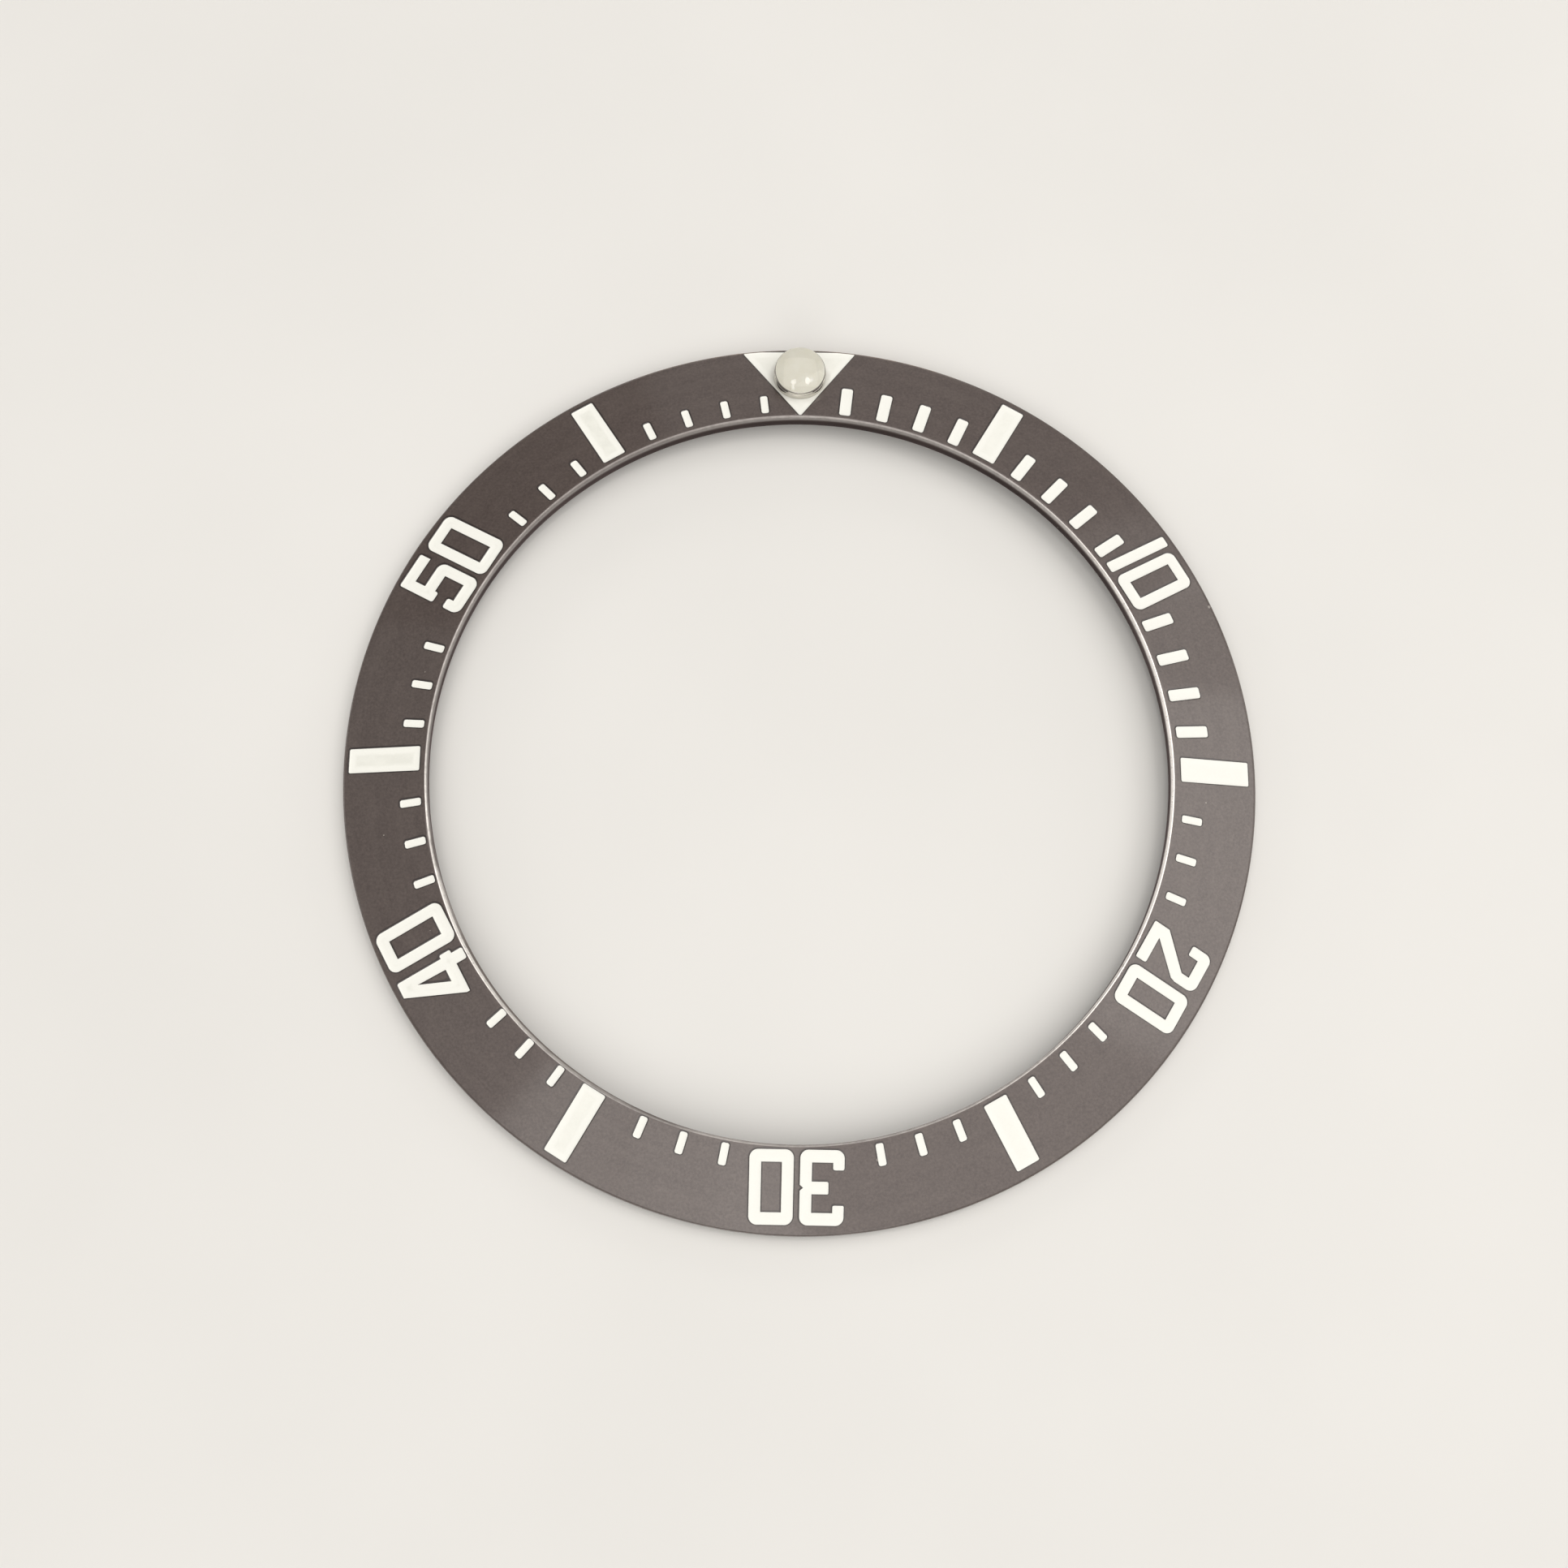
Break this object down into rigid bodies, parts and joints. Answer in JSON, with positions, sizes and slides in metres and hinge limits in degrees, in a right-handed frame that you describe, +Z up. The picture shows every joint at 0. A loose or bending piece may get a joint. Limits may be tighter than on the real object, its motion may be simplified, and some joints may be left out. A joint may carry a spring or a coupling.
{
  "type": "watch bezel insert",
  "caption": "Conical anodised aluminium minute-scale ring for a dive watch bezel, with paint-filled engraved figures, bars and ticks and a domed lume pearl in the 12 o'clock triangle.",
  "frame": {"origin": "centre of the ring, in the plane of the flat seat that it rests on", "axes": "+Z up out of the printed face along the ring's own axis, +Y towards the 12 o'clock triangle, +X towards the 15 minute bar"},
  "size_m": [0.038, 0.038, 0.0021],
  "materials": {
    "anodised_ring": "matte warm grey-brown anodised aluminium, faintly brushed round the ring",
    "scale_paint": "satin warm white enamel paint",
    "pearl_steel": "polished steel, a little grimy at the lip",
    "pearl_clear": "polished clear acrylic",
    "pearl_lume": "matte cream luminous compound",
    "back_seal": "dull lacquer"
  },
  "bodies": {
    "root": {"insert_ring": "anodised_ring", "triangle_fill": "scale_paint", "numeral_10_fill": "scale_paint", "numeral_20_fill": "scale_paint", "numeral_30_fill": "scale_paint", "numeral_40_fill": "scale_paint", "numeral_50_fill": "scale_paint", "bar_05_fill": "scale_paint", "bar_15_fill": "scale_paint", "bar_25_fill": "scale_paint", "bar_35_fill": "scale_paint", "bar_45_fill": "scale_paint", "bar_55_fill": "scale_paint", "ticks_01_04_fill": "scale_paint", "ticks_06_09_fill": "scale_paint", "ticks_11_14_fill": "scale_paint", "ticks_16_18_fill": "scale_paint", "ticks_22_24_fill": "scale_paint", "ticks_26_28_fill": "scale_paint", "ticks_32_34_fill": "scale_paint", "ticks_36_38_fill": "scale_paint", "ticks_42_44_fill": "scale_paint", "ticks_46_48_fill": "scale_paint", "ticks_52_54_fill": "scale_paint", "ticks_56_59_fill": "scale_paint", "pearl_sleeve": "pearl_steel", "pearl_lens": "pearl_clear", "pearl_lume": "pearl_lume", "pearl_back_seal": "back_seal"}
  },
  "joints": []
}
